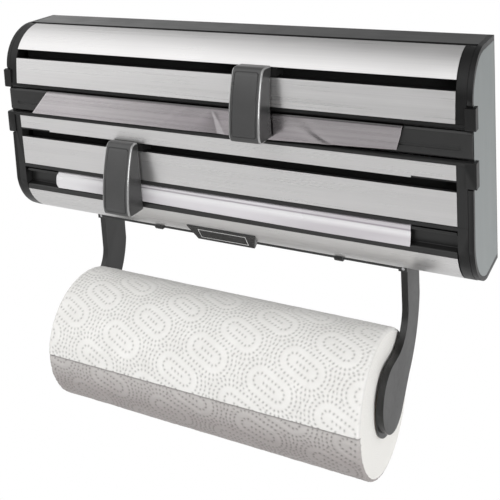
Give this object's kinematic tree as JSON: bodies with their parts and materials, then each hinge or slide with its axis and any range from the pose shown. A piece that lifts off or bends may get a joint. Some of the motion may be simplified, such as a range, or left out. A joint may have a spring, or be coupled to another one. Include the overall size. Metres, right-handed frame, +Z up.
{
  "type": "wall roll dispenser",
  "caption": "Wall-mounted dispenser with hinged steel-faced covers for foil and cling film, sliding cutters and a kitchen paper roll holder below.",
  "frame": {"origin": "on the wall plane, midway between the two wall-screw holes", "axes": "+X to the right along the wall and the rolls, -Y out of the wall towards the user, +Z up"},
  "size_m": [0.3928, 0.1199, 0.3034],
  "materials": {
    "dark_plastic": "fine-grained satin moulding, dark grey",
    "black_plastic": "matt black moulding inside the slots",
    "slider_plastic": "smooth satin moulding, dark grey",
    "badge": "plain black plate without lettering",
    "brushed_steel": "stainless sheet brushed along its length",
    "cheek_steel": "stainless sheet brushed upwards",
    "pin_steel": "bright turned steel",
    "foil": "household aluminium foil, soft rolled sheen",
    "film": "milky translucent cling film in many layers",
    "cardboard": "grey-brown spiral-wound tube",
    "kitchen_paper": "soft white embossed tissue"
  },
  "bodies": {
    "housing": {"back_shell": "dark_plastic", "left_cheek": "dark_plastic", "right_cheek": "dark_plastic", "left_cheek_skin": "cheek_steel", "right_cheek_skin": "cheek_steel", "cheek_screws": "pin_steel", "middle_strip": "dark_plastic", "apron": "dark_plastic", "bottom_skin": "brushed_steel", "badge_plate": "badge", "skin_catches": "dark_plastic", "foil_hubs": "dark_plastic", "film_hubs": "dark_plastic", "foil_sheet": "foil", "film_sheet": "film", "holder_bar": "dark_plastic", "arm_pins": "pin_steel"},
    "upper_cover": {"upper_cover_frame": "dark_plastic", "upper_skin_top": "brushed_steel", "upper_skin_front": "brushed_steel", "upper_rail": "black_plastic", "upper_hinge_pins": "pin_steel"},
    "lower_cover": {"lower_cover_frame": "dark_plastic", "lower_skin_strip": "brushed_steel", "lower_skin_front": "brushed_steel", "lower_rail": "black_plastic", "lower_hinge_pins": "pin_steel"},
    "upper_slider": {"upper_slider_grip": "slider_plastic", "upper_slider_cap": "slider_plastic", "upper_slider_carriage": "black_plastic", "upper_blade_holder": "black_plastic", "upper_cutter_blade": "pin_steel"},
    "lower_slider": {"lower_slider_grip": "slider_plastic", "lower_slider_cap": "slider_plastic", "lower_slider_carriage": "black_plastic", "lower_blade_holder": "black_plastic", "lower_cutter_blade": "pin_steel"},
    "foil_spool": {"foil_roll": "foil", "foil_core": "cardboard"},
    "film_spool": {"film_roll": "film", "film_core": "cardboard"},
    "paper_spool": {"paper_roll": "kitchen_paper", "paper_core": "cardboard"},
    "left_holder_arm": {"left_arm": "dark_plastic", "left_hub": "dark_plastic"},
    "right_holder_arm": {"right_arm": "dark_plastic", "right_hub": "dark_plastic"}
  },
  "joints": [
    {"name": "upper_cover_hinge", "type": "hinge", "parent": "housing", "child": "upper_cover", "pos_m": [0, -0.034, 0.0258], "axis": [-1, 0, 0], "range_deg": [0, 85]},
    {"name": "lower_cover_hinge", "type": "hinge", "parent": "housing", "child": "lower_cover", "pos_m": [0, -0.05, -0.118], "axis": [1, 0, 0], "range_deg": [0, 80]},
    {"name": "upper_slider_slide", "type": "slide", "parent": "upper_cover", "child": "upper_slider", "axis": [1, 0, 0], "range_m": [-0.205, 0.125]},
    {"name": "lower_slider_slide", "type": "slide", "parent": "lower_cover", "child": "lower_slider", "axis": [1, 0, 0], "range_m": [-0.088, 0.2415]},
    {"name": "foil_roll_spin", "type": "hinge", "parent": "housing", "child": "foil_spool", "pos_m": [0, -0.025, 0.002], "axis": [1, 0, 0], "continuous": true},
    {"name": "film_roll_spin", "type": "hinge", "parent": "housing", "child": "film_spool", "pos_m": [0, -0.026, -0.07], "axis": [1, 0, 0], "continuous": true},
    {"name": "paper_roll_spin", "type": "hinge", "parent": "housing", "child": "paper_spool", "pos_m": [0, -0.0685, -0.222], "axis": [1, 0, 0], "continuous": true},
    {"name": "left_arm_spring", "type": "hinge", "parent": "housing", "child": "left_holder_arm", "pos_m": [-0.1345, -0.018, -0.1372], "axis": [0, 1, 0], "range_deg": [0, 10]},
    {"name": "right_arm_spring", "type": "hinge", "parent": "housing", "child": "right_holder_arm", "pos_m": [0.1345, -0.018, -0.1372], "axis": [0, -1, 0], "range_deg": [0, 10]}
  ]
}
